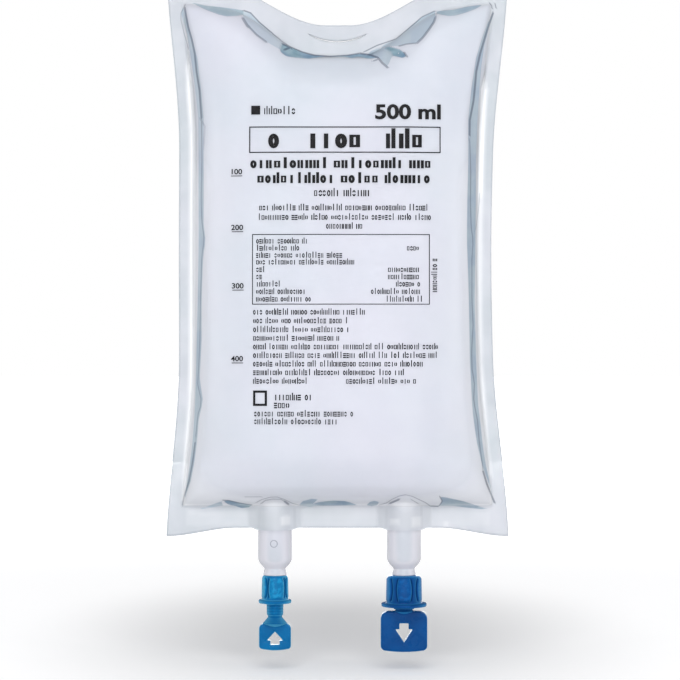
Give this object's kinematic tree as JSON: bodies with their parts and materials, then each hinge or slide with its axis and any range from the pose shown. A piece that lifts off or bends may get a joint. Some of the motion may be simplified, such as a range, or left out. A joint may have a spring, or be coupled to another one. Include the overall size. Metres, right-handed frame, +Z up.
{
  "type": "infusion bag with two ports",
  "caption": "Clear film infusion bag filled with saline, hung by its slit, with two port tubes and blue break-off closures.",
  "frame": {"origin": "middle of the hanger slit, in the plane of the welded seam", "axes": "+Z up as the bag hangs, +X to the reader's right, -Y towards the reader"},
  "size_m": [0.136, 0.0354, 0.2667],
  "materials": {
    "clear_film": "clear, glossy and slightly milky",
    "saline": "clear liquid",
    "clear_tube": "clear, smooth",
    "septum_rubber": "matte",
    "light_blue_plastic": "satin moulded",
    "deep_blue_plastic": "satin moulded",
    "black_print": "black ink printed on the film"
  },
  "bodies": {
    "root": {"bag_film": "clear_film", "saline_fill": "saline", "injection_port_tube": "clear_tube", "infusion_port_tube": "clear_tube", "injection_septum": "septum_rubber", "infusion_septum": "septum_rubber", "injection_closure": "light_blue_plastic", "infusion_closure": "deep_blue_plastic"}
  },
  "joints": []
}
